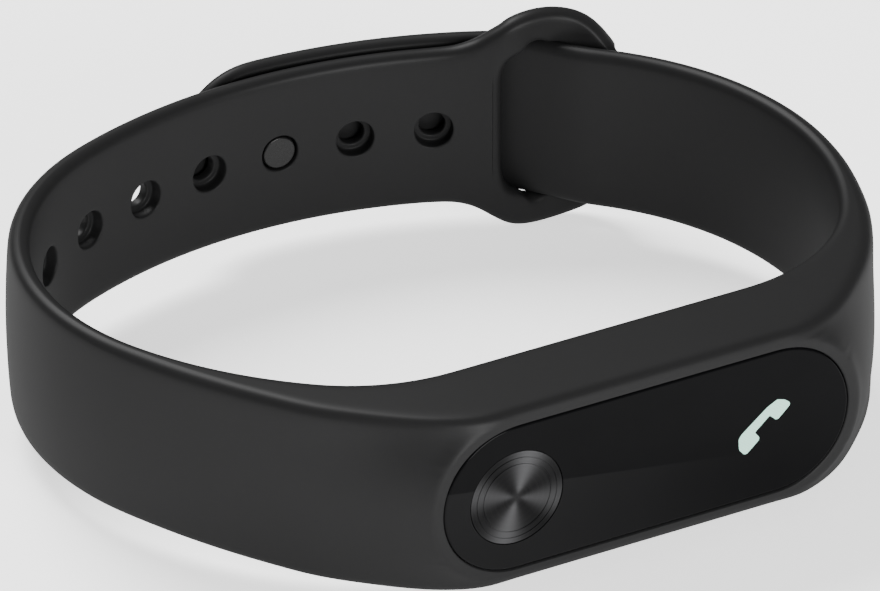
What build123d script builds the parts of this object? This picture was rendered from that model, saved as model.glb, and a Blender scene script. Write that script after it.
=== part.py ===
"""Fitness tracker band, closed: a silicone wrist strap that holds a pill-shaped tracker capsule.

The band stands on its edge, +Z along the wrist, with the capsule's lens facing -Y.
It is drawn in a working frame whose origin is the middle of the lens face, and is moved at the
end so that the origin is the middle of the base of its bounding box.
"""

from build123d import *
import math
import os

# ---- wrist curve: the strap's inner face seen along the wrist (mm, degrees) ----
CRADLE_FLAT = 27.84          # straight stretch behind the capsule
CRADLE_INNER_Y = 8.6         # depth of that stretch behind the lens face
RADII = [16.21, 35.53, 22.70, 44.63, 26.14, 16.21]
SWEEPS = [39.19, 26.69, 91.40, 56.33, 85.99, 60.40]
CLOSING_ARCS = (2, 4)        # their radii are adjusted so that the curve closes exactly

# ---- strap ----
STRAP_T = 2.15
HALF_H_FRONT, HALF_H_BACK = 8.35, 7.4     # half heights at the lip and at the back of the wrist
BACK_Y = 62.0
EDGE_R = 0.7
LIP_T = 1.4                  # the elastic rim stands this deep in front of the moulded strap
LIP_L, LIP_H = 41.4, 16.7
FLANK_GROWTH = 9.6           # how much longer the plateau is where it meets the arms
FLANK_DEPTH = 6.2

# ---- closure: distances along the wrist curve, counted from the right end of the flat stretch ----
HOLE_PITCH = 6.9
HOLE_COUNT = 8
STUD_S = 112.0               # the third hole holds the stud
NECK_HOLE_R, HEAD_HOLE_R = 1.1, 1.7
HEAD_HOLE_T = 1.15           # the wider, wrist-side part of each hole
STUD_RIM_R = 2.2
TONGUE_GAP = 0.4             # between the holed arm and the tongue that lies over it
TIP_S = 103.4
HINGE_S = 123.3
HINGE_PLAY = 0.06
LIFT_MAX = 60.0
LOOP_S0, LOOP_S1 = 127.4, 140.4
WINDOW_S0, WINDOW_S1 = 131.7, 137.5
LOOP_H, LOOP_WINDOW_H = 20.8, 15.7

# ---- capsule ----
LENS_L, LENS_H, LENS_T = 38.2, 13.5, 0.85
CASE_L, CASE_H = 39.6, 14.9
CASE_Y0, CASE_SPLIT_Y, CASE_STEP_Y, CASE_BACK_Y = 1.5, 5.3, 6.8, 10.6
REAR_L, REAR_H = 36.2, 11.6
WALL = 0.8
POCKET_PLAY = 0.05
DISC_X, DISC_R = -12.35, 4.27
ICON_X = 10.98
MOTOR_X, MOTOR_R = -13.0, 4.0
SENSOR_X = 3.0

parts = {}


# ---- drawing helpers ----
def across(y):
    """Plane facing the wrist at depth y; its local y axis is -Z."""
    return Plane(origin=(0, y, 0), x_dir=(1, 0, 0), z_dir=(0, 1, 0))


def stadium(length, height, y0, y1):
    return extrude(across(y0) * SlotOverall(length, height), y1 - y0)


def disc(x, z, radius, y0, y1):
    return extrude(across(y0) * Pos(x, -z) * Circle(radius), y1 - y0)


def block(x0, x1, y0, y1, z0, z1, corner=0.0):
    """Box between the given limits, its edges along Y rounded."""
    outline = Rectangle(x1 - x0, z1 - z0)
    if corner:
        outline = RectangleRounded(x1 - x0, z1 - z0, corner)
    return extrude(across(y0) * Pos((x0 + x1) / 2, -(z0 + z1) / 2) * outline, y1 - y0)


def unit(degrees):
    return Vector(math.cos(math.radians(degrees)), math.sin(math.radians(degrees)))


def closed_radii():
    """RADII with the two closing arcs adjusted; the end point is linear in every radius."""
    angle, chords = -90.0, []
    for sweep in SWEEPS:
        chords.append(unit(angle - sweep) - unit(angle))
        angle -= sweep
    gap = Vector(-CRADLE_FLAT, 0)
    for radius, chord in zip(RADII, chords):
        gap += chord * radius
    i, j = CLOSING_ARCS
    a, b = chords[i], chords[j]
    det = a.X * b.Y - a.Y * b.X
    radii = list(RADII)
    radii[i] += (-gap.X * b.Y + gap.Y * b.X) / det
    radii[j] += (-gap.Y * a.X + gap.X * a.Y) / det
    return radii


def wrist_arcs():
    """(start distance, centre, radius, start normal angle, end distance) for each arc."""
    arcs, s, angle = [], CRADLE_FLAT, -90.0
    point = Vector(-CRADLE_FLAT / 2, CRADLE_INNER_Y)
    for radius, sweep in zip(closed_radii(), SWEEPS):
        centre = point - unit(angle) * radius
        end = s + radius * math.radians(sweep)
        arcs.append((s, centre, radius, angle, end))
        angle -= sweep
        point = centre + unit(angle) * radius
        s = end
    return arcs


ARCS = wrist_arcs()


def arc_at(s):
    return next(arc for arc in ARCS if s <= arc[4] + 1e-9)


def normal(s):
    """Outward normal of the wrist curve at distance s."""
    start, _, radius, angle, _ = arc_at(s)
    return unit(angle - math.degrees((s - start) / radius))


def at(s, offset=0.0):
    """Point at distance s along the wrist curve, offset outward."""
    return arc_at(s)[1] + normal(s) * (arc_at(s)[2] + offset)


def tangent(s):
    """Direction of increasing s (clockwise seen from above)."""
    n = normal(s)
    return Vector(n.Y, -n.X)


def offset_run(s0, s1, offset):
    """Arcs that follow the wrist curve between two distances at a constant offset."""
    low, high = min(s0, s1), max(s0, s1)
    cuts = [low] + [arc[4] for arc in ARCS if low < arc[4] < high] + [high]
    runs = []
    for a, b in zip(cuts, cuts[1:]):
        centre, radius = arc_at(b)[1], arc_at(b)[2] + offset
        start, angle = arc_at(b)[0], arc_at(b)[3]
        ends = [unit(angle - math.degrees((s - start) / arc_at(b)[2])) for s in (a, (a + b) / 2, b)]
        runs.append(ThreePointArc(*[centre + e * radius for e in ends]))
    return runs


def radial_plane(s, offset=0.0):
    """Plane square to the strap at s: z outward, x along the strap, y along the wrist."""
    t = tangent(s)
    return Plane(origin=at(s, offset), x_dir=(t.X, t.Y, 0), z_dir=normal(s))


def peg(s, radius, offset0, offset1):
    """Round solid along the strap's normal."""
    return extrude(radial_plane(s, offset0) * Circle(radius), offset1 - offset0)


# ---- strap ----
TONGUE_IN = STRAP_T + TONGUE_GAP
TONGUE_OUT = TONGUE_IN + STRAP_T
CURVE_END = ARCS[-1][4]
CROSS_S0, CROSS_S1 = 129.9, 139.6     # the tongue passes through the loop between these
LEFT_ARM_S, RIGHT_ARM_S = 60.0, 161.0  # where the flanks have thinned down to the arms


def crossing(offset_far, offset_near):
    """Edge that leads the tongue arm out through the loop's window."""
    return Spline(at(CROSS_S1, offset_near), at(CROSS_S0, offset_far),
                  tangents=[tangent(CROSS_S1) * -1, tangent(CROSS_S0) * -1])


def cradle_outline():
    """The thick front of the strap and the flanks that thin down into the two arms."""
    half_flat = CRADLE_FLAT / 2
    left_flank = Spline((-13.5, 0), (-18.65, 1.67), (-24.05, 5.65), (-28.7, 11.0), (-32.65, 17.55),
                        at(LEFT_ARM_S, STRAP_T), tangents=[Vector(-1, 0), tangent(LEFT_ARM_S)])
    right_flank = Spline(at(RIGHT_ARM_S, STRAP_T), (30.2, 15.2), (23.35, 5.35), (17.7, 1.2), (12.5, 0),
                         tangents=[tangent(RIGHT_ARM_S), Vector(-1, 0)])
    edges = [Line((12.5, 0), (-13.5, 0)), left_flank, right_flank]
    edges += [Line((-half_flat, CRADLE_INNER_Y), (half_flat, CRADLE_INNER_Y))]
    edges += offset_run(CRADLE_FLAT, LEFT_ARM_S, 0) + offset_run(RIGHT_ARM_S, CURVE_END, 0)
    edges += [Line(at(s), at(s, STRAP_T)) for s in (LEFT_ARM_S, RIGHT_ARM_S)]
    return make_face(edges)


def holed_arm_outline():
    edges = offset_run(LEFT_ARM_S, LOOP_S0, 0) + offset_run(LEFT_ARM_S, LOOP_S0, STRAP_T)
    edges += [Line(at(s), at(s, STRAP_T)) for s in (LEFT_ARM_S, LOOP_S0)]
    return make_face(edges)


def tongue_outline():
    """The other arm, which passes out through the loop and ends over the holed arm."""
    edges = [Line(at(RIGHT_ARM_S), at(RIGHT_ARM_S, STRAP_T))]
    edges += offset_run(CROSS_S1, RIGHT_ARM_S, 0) + offset_run(CROSS_S1, RIGHT_ARM_S, STRAP_T)
    edges += [crossing(TONGUE_IN, 0), crossing(TONGUE_OUT, STRAP_T)]
    edges += offset_run(TIP_S, CROSS_S0, TONGUE_IN) + offset_run(TIP_S, CROSS_S0, TONGUE_OUT)
    edges += [Line(at(TIP_S, TONGUE_IN), at(TIP_S, TONGUE_OUT))]
    return make_face(edges)


def moulded(outline, profile):
    """Strip of the strap's height with its long edges rounded."""
    strip = extrude(outline, 12, both=True) & profile
    rims = [e for e in strip.edges() if abs(abs(e.center().Z) - HALF_H_BACK) < 1.2 and e.length > 3.0]
    return fillet(rims, EDGE_R)


def side_profile():
    """What limits the strap's height, which shrinks towards the back of the wrist."""
    low, high = -5.0, BACK_Y + 8
    slope = (HALF_H_BACK - HALF_H_FRONT) / (BACK_Y - LIP_T)
    front, back = [HALF_H_FRONT + slope * (y - LIP_T) for y in (low, high)]
    outline = Polyline((0, low, -front), (0, high, -back), (0, high, back), (0, low, front), close=True)
    return extrude(make_face(outline), 60, dir=(1, 0, 0), both=True)


def keeper_loop():
    """Ring at the end of the holed arm; it slants outward so that the tongue can pass through."""
    inner = Spline(at(WINDOW_S0), at(WINDOW_S1, TONGUE_IN), tangents=[tangent(WINDOW_S0), tangent(WINDOW_S1)])
    outer = Spline(at(WINDOW_S0, STRAP_T), at(WINDOW_S1, TONGUE_OUT),
                   tangents=[tangent(WINDOW_S0), tangent(WINDOW_S1)])
    edges = [inner, outer, Line(at(LOOP_S0), at(LOOP_S0, STRAP_T))]
    edges += [Line(at(LOOP_S1, TONGUE_IN), at(LOOP_S1, TONGUE_OUT))]
    edges += offset_run(LOOP_S0, WINDOW_S0, 0) + offset_run(LOOP_S0, WINDOW_S0, STRAP_T)
    edges += offset_run(WINDOW_S1, LOOP_S1, TONGUE_IN) + offset_run(WINDOW_S1, LOOP_S1, TONGUE_OUT)
    strip = extrude(make_face(edges), LOOP_H / 2, both=True)
    middle = radial_plane((LOOP_S0 + LOOP_S1) / 2, STRAP_T)
    outline = extrude(middle * RectangleRounded(LOOP_S1 - LOOP_S0 + 0.6, LOOP_H, 3.2), 12, both=True)
    window_plane = radial_plane((WINDOW_S0 + WINDOW_S1) / 2, STRAP_T)
    window = RectangleRounded(WINDOW_S1 - WINDOW_S0, LOOP_WINDOW_H, 1.2)
    return (strip & outline) - extrude(window_plane * window, 12, both=True)


def tongue_region():
    """The part of the strip beyond the living hinge, with its round knuckle."""
    knuckle_offset = TONGUE_IN + STRAP_T / 2
    run = [Line(at(HINGE_S, TONGUE_IN - 0.2), at(HINGE_S, TONGUE_OUT + 0.2)),
           Line(at(TIP_S - 1, TONGUE_IN - 0.2), at(TIP_S - 1, TONGUE_OUT + 0.2))]
    run += offset_run(TIP_S - 1, HINGE_S, TONGUE_IN - 0.2) + offset_run(TIP_S - 1, HINGE_S, TONGUE_OUT + 0.2)
    body = extrude(make_face(run), 12, both=True)
    centre = at(HINGE_S, knuckle_offset)
    knuckle = extrude(Pos(centre.X, centre.Y) * Circle(STRAP_T / 2), 12, both=True)
    return body, knuckle, centre


def hinge_relief(centre):
    """Room that the lifted tongue needs: the knuckle's socket and a bevel on the outer side."""
    radius = STRAP_T / 2 + HINGE_PLAY
    socket = extrude(Pos(centre.X, centre.Y) * Circle(radius), 12, both=True)
    n, t = normal(HINGE_S), tangent(HINGE_S)
    lean = math.radians(LIFT_MAX + 3)
    touch = centre + t * (radius * math.sin(lean)) + n * (radius * math.cos(lean))
    rise = n * math.sin(lean) - t * math.cos(lean)
    corners = [centre - t, touch, touch + rise * 3, centre - t + n * 4]
    bevel = extrude(make_face(Polyline(*corners, close=True)), 12, both=True)
    return socket + bevel


def plateau():
    """Stadium-shaped front of the cradle, flaring back into the arms."""
    front = across(LIP_T) * SlotOverall(LIP_L, LIP_H)
    back = across(LIP_T + FLANK_DEPTH) * SlotOverall(LIP_L + FLANK_GROWTH, LIP_H + FLANK_GROWTH)
    return loft([front, back])


def hole(s):
    """Stepped hole: a wide seat for the stud's head on the wrist side and a narrow neck outside."""
    return peg(s, HEAD_HOLE_R, -1, HEAD_HOLE_T) + peg(s, NECK_HOLE_R, 0, STRAP_T + 0.2)


def make_strap():
    """The moulded strap, split where its sections change: cradle, two arms and keeper loop."""
    profile = side_profile()
    cradle = moulded(cradle_outline(), profile) + (plateau() & profile)
    cradle -= Pos(0, LIP_T - 10, 0) * Box(80, 20, 40)
    cradle -= stadium(CASE_L + 2 * POCKET_PLAY, CASE_H + 2 * POCKET_PLAY, -1, CASE_STEP_Y + 0.15)
    parts["strap_cradle"] = cradle - stadium(REAR_L + 0.3, REAR_H + 0.3, 0, 20)

    holed = moulded(holed_arm_outline(), profile)
    for i in range(HOLE_COUNT):
        holed -= hole(STUD_S + (2 - i) * HOLE_PITCH)
    parts["holed_arm"] = holed - peg(STUD_S, STUD_RIM_R, HEAD_HOLE_T, STRAP_T + 0.2)
    parts["keeper_loop"] = keeper_loop()

    long_arm = moulded(tongue_outline(), profile)
    body, knuckle, pivot = tongue_region()
    tip_outline = radial_plane(TIP_S + 11, TONGUE_OUT) * RectangleRounded(22, 2 * HALF_H_BACK + 0.4, 5.5)
    tongue = (long_arm & body & extrude(tip_outline, 8, both=True)) + (long_arm & knuckle)
    tongue -= peg(STUD_S, 1.03, TONGUE_IN - 1, TONGUE_OUT + 1)
    tongue -= peg(STUD_S, 3.03, TONGUE_OUT - 0.85, TONGUE_OUT + 1)
    parts["tongue_tip"] = tongue
    parts["tongue_arm"] = long_arm - body - hinge_relief(pivot)

    rim = peg(STUD_S, STUD_RIM_R - 0.02, HEAD_HOLE_T + 0.02, STRAP_T - 0.05)
    parts["stud_hole_rim"] = rim - peg(STUD_S, NECK_HOLE_R, 0, STRAP_T + 1)

    lip = stadium(LIP_L, LIP_H, 0, LIP_T)
    front_rim = [e for e in lip.edges() if e.center().Y < 0.1]
    lip = fillet(front_rim, 0.6)
    parts["retaining_lip"] = lip - stadium(LENS_L + 0.08, LENS_H + 0.08, -1, LIP_T + 1)

    head = peg(STUD_S, 1.5, 0.12, 0.95)
    head = fillet(head.edges(), 0.18)
    foot = peg(STUD_S, 3.0, TONGUE_OUT - 0.83, TONGUE_OUT + 0.12)
    foot = fillet(foot.faces().sort_by(lambda f: f.center().Y)[-1].edges(), 0.3)
    parts["closure_stud"] = head + peg(STUD_S, 1.0, 0.6, TONGUE_OUT - 0.4) + foot
    return pivot


# ---- capsule ----
def make_capsule_shell():
    lens = stadium(LENS_L, LENS_H, 0, LENS_T)
    lens = fillet([e for e in lens.edges() if e.center().Y < 0.1], 0.25)
    parts["front_lens"] = lens - disc(DISC_X, 0, DISC_R + 0.08, -1, 0.32)
    plate = disc(DISC_X, 0, DISC_R, 0.04, 0.3)
    grooves = [disc(DISC_X, 0, r, -1, 0.08) - disc(DISC_X, 0, r - 0.12, -1, 0.08) for r in (3.2, 3.8)]
    parts["touch_disc"] = plate - grooves[0] - grooves[1]

    shelf_l, shelf_h = LENS_L - 3.2, LENS_H - 3.2
    adhesive = stadium(LENS_L - 0.3, LENS_H - 0.3, LENS_T, 1.0)
    parts["lens_adhesive"] = adhesive - stadium(shelf_l, shelf_h, 0, 2)

    inner_l, inner_h = CASE_L - 2 * WALL, CASE_H - 2 * WALL
    upper = stadium(CASE_L, CASE_H, CASE_Y0, CASE_SPLIT_Y) + stadium(LENS_L, LENS_H, 1.0, CASE_Y0 + 0.2)
    upper -= stadium(inner_l, inner_h, 1.8, CASE_SPLIT_Y + 1)
    parts["upper_case"] = upper - stadium(shelf_l, shelf_h, 0, 3)
    seal = stadium(CASE_L - 0.4, CASE_H - 0.4, CASE_SPLIT_Y, CASE_SPLIT_Y + 0.2)
    parts["case_seal"] = seal - stadium(inner_l + 0.2, inner_h + 0.2, 0, 9)

    rear = stadium(REAR_L, REAR_H, CASE_STEP_Y - 0.5, CASE_BACK_Y)
    rear = fillet([e for e in rear.edges() if e.center().Y > CASE_BACK_Y - 0.1], 1.0)
    lower = stadium(CASE_L, CASE_H, CASE_SPLIT_Y + 0.2, CASE_STEP_Y) + rear
    lower -= stadium(inner_l, inner_h, 4, CASE_STEP_Y - WALL)
    lower -= stadium(REAR_L - 2 * WALL, REAR_H - 2 * WALL, 4, CASE_BACK_Y - 1.0)
    lower -= block(SENSOR_X - 5.5, SENSOR_X + 5.5, 9, 12, -3.2, 3.2, 3.1)
    for z in (-2.6, 2.6):
        lower -= disc(-13.5, z, 1.15, 9, 12)
    parts["lower_case"] = lower
    window = block(SENSOR_X - 5.47, SENSOR_X + 5.47, 9.64, CASE_BACK_Y + 0.08, -3.17, 3.17, 3.07)
    parts["sensor_window"] = window
    pads = [disc(-13.5, z, 1.12, 9.7, CASE_BACK_Y + 0.05) for z in (-2.6, 2.6)]
    parts["charging_contacts"] = Compound(children=pads)
    pins = [disc(-13.5, z, 0.35, 8.75, 9.69) for z in (-2.6, 2.6)]
    parts["contact_pins"] = Compound(children=pins)


def handset_outline():
    """Telephone receiver: two earpieces joined by a bowed handle."""
    return [(1.30, 2.14), (2.03, 1.91), (2.46, 1.52), (2.48, 1.26), (1.40, 0.25), (1.15, 0.24), (0.58, 0.80),
            (-0.86, -0.44), (-0.43, -0.97), (-0.43, -1.27), (-1.57, -2.26), (-1.83, -2.23), (-2.30, -1.68),
            (-2.37, -0.70), (-2.14, -0.30), (0.37, 1.69)]


def make_display():
    panel = block(-2, 14, 0.92, 1.75, -4.75, 4.75, 0.5)
    parts["display_panel"] = panel
    outline = Polyline(*[(x, -z) for x, z in handset_outline()], close=True)
    parts["display_icon"] = extrude(across(0.86) * Pos(ICON_X, 0) * make_face(outline), 0.05)
    foam = block(-2, 14, 1.78, 2.1, -4.75, 4.75, 0.5) - block(-0.8, 12.8, 1, 3, -3.6, 3.6, 0.4)
    parts["display_foam"] = foam
    tail = block(14.1, 15.4, 1.4, 1.52, -2, 2) + block(15.28, 15.4, 1.4, 2.95, -2, 2)
    parts["display_flex"] = tail + block(13.0, 15.4, 2.83, 2.95, -2, 2)
    parts["touch_electrode"] = disc(DISC_X, 0, 4.5, 0.88, 1.03)


def make_electronics():
    board = stadium(36.4, 12.2, 3.0, 3.6)
    parts["main_board"] = board
    parts["processor_chip"] = block(-6.5, -1.5, 2.25, 2.98, -2.5, 2.5)
    parts["memory_chip"] = block(0.2, 3.2, 2.35, 2.98, -1.2, 2.6)
    parts["motion_sensor"] = block(5.0, 7.5, 2.2, 2.98, -1.25, 1.25)
    parts["clock_crystal"] = block(0.2, 3.0, 2.35, 2.98, -4.0, -2.6)
    places = [(x, z) for x in (-15.5, -14.0, -12.5, -11.0, -9.5) for z in (-3.6, -1.2, 1.2, 3.6)]
    chips = [block(x - 0.3, x + 0.3, 2.6, 2.98, z - 0.5, z + 0.5) for x, z in places]
    parts["passive_parts"] = Compound(children=chips)
    ring = stadium(36.0, 11.4, 2.2, 2.98) - stadium(35.2, 10.6, 0, 4)
    parts["antenna"] = ring & block(9.5, 19, 0, 4, -7, 7)

    parts["battery_pad"] = block(-8.0, 13.8, 3.62, 3.78, -4.4, 4.4, 0.6)
    cell = block(-8.2, 14.0, 3.8, 7.3, -4.7, 4.7, 0.9)
    parts["battery_cell"] = fillet([e for e in cell.edges() if abs(e.center().Y - 5.55) > 1.7], 0.5)
    tabs = [block(14.02, 15.2, 3.75, 3.9, z - 0.9, z + 0.9) for z in (-2.2, 2.2)]
    parts["battery_tabs"] = Compound(children=tabs)

    parts["sensor_board"] = block(-16.0, 10.0, 8.35, 8.73, -4.4, 4.4, 2.0)
    link = block(10.02, 15.9, 8.5, 8.62, -1.5, 1.5) + block(15.78, 15.9, 3.62, 8.62, -1.5, 1.5)
    parts["board_link"] = link
    leds = [block(SENSOR_X + d - 0.8, SENSOR_X + d + 0.8, 8.75, 9.3, -0.8, 0.8) for d in (-3.6, 3.6)]
    parts["sensor_leds"] = Compound(children=leds)
    parts["photodiode"] = block(SENSOR_X - 1.3, SENSOR_X + 1.3, 8.75, 9.3, -1.3, 1.3)
    baffle = block(SENSOR_X - 5.2, SENSOR_X + 5.2, 8.76, 9.58, -2.9, 2.9, 2.8)
    baffle -= block(SENSOR_X - 1.6, SENSOR_X + 1.6, 8, 10, -1.6, 1.6)
    for d in (-3.6, 3.6):
        baffle -= block(SENSOR_X + d - 1.1, SENSOR_X + d + 1.1, 8, 10, -1.1, 1.1)
    parts["light_baffle"] = baffle


def make_motor():
    """Coin vibration motor: its half-disc weight hangs down at rest."""
    can = disc(MOTOR_X, 0, MOTOR_R, 3.9, 6.3) - disc(MOTOR_X, 0, MOTOR_R - 0.25, 4.15, 9)
    parts["motor_case"] = can
    parts["motor_cover"] = disc(MOTOR_X, 0, MOTOR_R, 6.32, 6.57) - disc(MOTOR_X, 0, 0.42, 0, 9)
    parts["motor_shaft"] = disc(MOTOR_X, 0, 0.4, 4.17, 6.57)
    weight = disc(MOTOR_X, 0, 3.4, 4.6, 5.9) & block(MOTOR_X - 4, MOTOR_X + 4, 4, 7, -4, 0)
    hub = disc(MOTOR_X, 0, 1.1, 4.6, 5.9)
    parts["motor_rotor"] = weight + hub - disc(MOTOR_X, 0, 0.45, 0, 9)


def report(name, point, direction=None):
    text = f"{name}: pos_m [{point.X / 1000:.6f}, {point.Y / 1000:.6f}, {point.Z / 1000:.6f}]"
    if direction:
        text += f" axis [{direction.X:.6f}, {direction.Y:.6f}, {direction.Z:.6f}]"
    print(text)


def main():
    os.makedirs("parts", exist_ok=True)
    pivot = make_strap()
    make_capsule_shell()
    make_display()
    make_electronics()
    make_motor()

    boxes = [shape.bounding_box() for shape in parts.values()]
    low = Vector(*[min(getattr(b.min, k) for b in boxes) for k in "XYZ"])
    high = Vector(*[max(getattr(b.max, k) for b in boxes) for k in "XYZ"])
    shift = Vector(-(low.X + high.X) / 2, -(low.Y + high.Y) / 2, -low.Z)
    for name, shape in parts.items():
        export_step(Pos(shift) * shape, f"parts/{name}.step")

    print("size", high - low, "lens middle in the row frame", shift)
    report("tongue hinge", pivot + shift)
    report("rotor axis", Vector(MOTOR_X, 5.25, 0) + shift)
    report("stud", at(STUD_S, STRAP_T) + shift, normal(STUD_S))
    for i in range(3, HOLE_COUNT):
        s = STUD_S + (2 - i) * HOLE_PITCH
        report(f"hole {i + 1}", at(s, (HEAD_HOLE_T + STRAP_T) / 2) + shift, normal(s))
    report("sensor face", Vector(SENSOR_X, CASE_BACK_Y + 0.08, 0) + shift)


main()
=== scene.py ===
"""Fitness tracker band: a moulded silicone strap, closed on its third hole, round a pill-shaped capsule."""

import math

import bmesh
import bpy
from bpy.props import FloatProperty, FloatVectorProperty, PointerProperty
from mathutils import Matrix, Vector

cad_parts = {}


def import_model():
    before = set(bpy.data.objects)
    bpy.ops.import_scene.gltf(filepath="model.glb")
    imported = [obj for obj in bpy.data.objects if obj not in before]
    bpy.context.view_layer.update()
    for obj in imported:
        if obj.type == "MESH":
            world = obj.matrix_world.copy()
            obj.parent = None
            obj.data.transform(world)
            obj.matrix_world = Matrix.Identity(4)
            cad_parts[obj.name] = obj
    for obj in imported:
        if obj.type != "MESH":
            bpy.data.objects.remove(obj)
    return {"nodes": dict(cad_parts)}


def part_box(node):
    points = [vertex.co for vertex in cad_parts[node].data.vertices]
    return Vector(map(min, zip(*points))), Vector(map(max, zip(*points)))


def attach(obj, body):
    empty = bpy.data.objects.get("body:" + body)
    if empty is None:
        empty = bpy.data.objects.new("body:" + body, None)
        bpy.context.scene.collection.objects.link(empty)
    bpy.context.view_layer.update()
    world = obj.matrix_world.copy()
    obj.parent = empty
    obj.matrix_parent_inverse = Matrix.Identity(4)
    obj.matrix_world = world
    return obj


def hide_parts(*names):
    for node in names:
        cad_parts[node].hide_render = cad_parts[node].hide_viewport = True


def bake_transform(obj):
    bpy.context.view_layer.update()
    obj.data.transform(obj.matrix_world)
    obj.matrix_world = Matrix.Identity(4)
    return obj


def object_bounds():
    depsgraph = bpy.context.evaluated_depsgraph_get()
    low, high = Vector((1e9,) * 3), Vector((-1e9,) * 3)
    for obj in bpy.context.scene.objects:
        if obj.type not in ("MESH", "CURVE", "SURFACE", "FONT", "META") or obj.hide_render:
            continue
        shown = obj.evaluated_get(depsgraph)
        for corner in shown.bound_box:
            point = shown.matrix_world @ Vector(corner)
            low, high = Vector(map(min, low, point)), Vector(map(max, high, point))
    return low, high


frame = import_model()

CAD_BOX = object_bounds()

bl_info = {
    "name": "Fitness Tracker Band",
    "version": (1, 0, 0),
    "blender": (4, 5, 0),
    "location": "View3D > Sidebar > Tracker",
    "description": "Builds a closed silicone tracker band with its capsule and studio",
    "category": "Object",
}

# Working frame: millimetres from the middle of the lens face, x along the capsule, y towards the wrist.
MM = 0.001
LENS_LOW, LENS_HIGH = [Vector(c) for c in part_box("front_lens")]
LENS_MIDDLE = Vector(((LENS_LOW.x + LENS_HIGH.x) / 2, LENS_LOW.y, (LENS_LOW.z + LENS_HIGH.z) / 2))

# Wrist curve: the strap's inner face seen along the wrist, clockwise from the right end of its flat
# stretch. Each arc is a radius and a sweep in degrees.
CRADLE_FLAT = 27.84
CRADLE_INNER_Y = 8.6
ARCS = ((16.21, 39.19), (35.53, 26.69), (22.704, 91.40), (44.63, 56.33), (26.142, 85.99), (16.21, 60.40))

# Strap sections.
STRAP_T = 2.15
HALF_FRONT, HALF_SLOPE = 8.37, 0.0157      # half height at the front and how fast it shrinks with depth
EDGE_IN, EDGE_OUT = 0.8, 1.0               # rounding of the long edges
SIDE_ROWS, CORNER_ROWS = 4, 2
CROWN_Z = 8.0                              # height at which the outer face has fallen away by the crown

# Thickness of the strap from each end of the cradle's flat stretch, by distance along the wrist curve.
LEFT_FLANK = ((27.84, 8.6), (30, 7.98), (33, 6.5), (36, 5.35), (39, 4.5), (43, 3.55), (48, 2.8),
              (54, 2.32), (60, STRAP_T))
RIGHT_FLANK = ((0, 8.6), (3, 7.5), (6, 6.0), (9, 4.8), (12, 3.8), (15, 3.05), (20, 2.45),
               (26, 2.2), (31, STRAP_T))
CRADLE_REACH = 34                          # how far along from the middle the raised front matters

# Lens opening, capsule pocket and the opening behind it: stadiums about the same two end centres.
END_X = 12.35
OPENING_R, POCKET_R, REAR_R = 6.79, 7.5, 5.95
POCKET_FRONT_Y, POCKET_BACK_Y = 1.4, 6.95
LIP_W = 1.45
LIP_STEP, LIP_CREST = 0.55, 0.1            # fall outside the lip, and rise of its crest
POCKET_START, POCKET_COLUMNS, COLUMN = 36.5, 44, 1.03

# Closure.
HOLE_PITCH, HOLE_COUNT, STUD_S = 6.9, 8, 112.0
NECK_R, SEAT_R, SEAT_T = 1.1, 1.7, 1.15
TONGUE_GAP = 0.4
TONGUE_LIFT = STRAP_T + TONGUE_GAP
CROSS_S0, CROSS_S1 = 129.9, 139.6          # where the long arm passes from inside to outside
TIP_S, TIP_CORNER, TIP_THINNING = 103.9, 6.8, 0.75
HINGE_S, BEND = 123.3, 3.2                 # middle of the bend and how far it spreads each way
SEAM_S = 130.4                             # where the tongue piece takes over from the strap piece

# Keeper loop: end, rise to the outside, window and outline.
RING_END_S = 140.4
RING_LIFT_S, RING_LIFT_RUN = 131.4, 6.6
WINDOW = (134.6, 2.9, 6.6, 1.9)            # centre, half width, half height and corner radius
WINDOW_MARGIN = 0.75
RING_STEP = 0.6
RING_OUTLINE = ((125.5, 7.5), (127.8, 7.62), (129.4, 8.15), (131.0, 9.15), (132.6, 9.95), (134.4, 10.3),
                (136.2, 10.15), (137.8, 9.5), (139.2, 8.3), (140.4, 6.6))


# ---------------------------------------------------------------- curve helpers
def world(x, y, z):
    """Scene position of a point in the working frame."""
    return LENS_MIDDLE + Vector((x, y, z)) * MM


def unit(degrees):
    """Unit vector in this direction."""
    return Vector((math.cos(math.radians(degrees)), math.sin(math.radians(degrees))))


def smooth(t):
    """Eased step from 0 at t = 0 to 1 at t = 1."""
    t = min(max(t, 0.0), 1.0)
    return t * t * (3 - 2 * t)


def through(points, x):
    """Value at x of a smooth curve through (x, value) points given in rising order."""
    if x <= points[0][0]:
        return points[0][1]
    if x >= points[-1][0]:
        return points[-1][1]
    i = max(n for n, p in enumerate(points[:-1]) if p[0] <= x)

    def slope(n):
        a, b = points[max(n - 1, 0)], points[min(n + 1, len(points) - 1)]
        return (b[1] - a[1]) / (b[0] - a[0])

    (x0, v0), (x1, v1) = points[i], points[i + 1]
    w = x1 - x0
    t = (x - x0) / w
    return (v0 * (1 + 2 * t) * (1 - t) ** 2 + v1 * t * t * (3 - 2 * t)
            + slope(i) * w * t * (1 - t) ** 2 - slope(i + 1) * w * t * t * (1 - t))


def soft_max(a, b, k):
    """The larger of two values, blended over a width k where they are close."""
    h = min(max(0.5 + 0.5 * (a - b) / k, 0.0), 1.0)
    return b + (a - b) * h + k * h * (1 - h)


def wrist_arcs():
    """(start distance, centre, radius, start angle) of each arc, and the whole girth."""
    arcs, s, angle = [], CRADLE_FLAT, -90.0
    point = Vector((-CRADLE_FLAT / 2, CRADLE_INNER_Y))
    for radius, sweep in ARCS:
        centre = point - unit(angle) * radius
        arcs.append((s, centre, radius, angle))
        angle -= sweep
        s += radius * math.radians(sweep)
        point = centre + unit(angle) * radius
    return arcs, s


WRIST, GIRTH = wrist_arcs()


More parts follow.
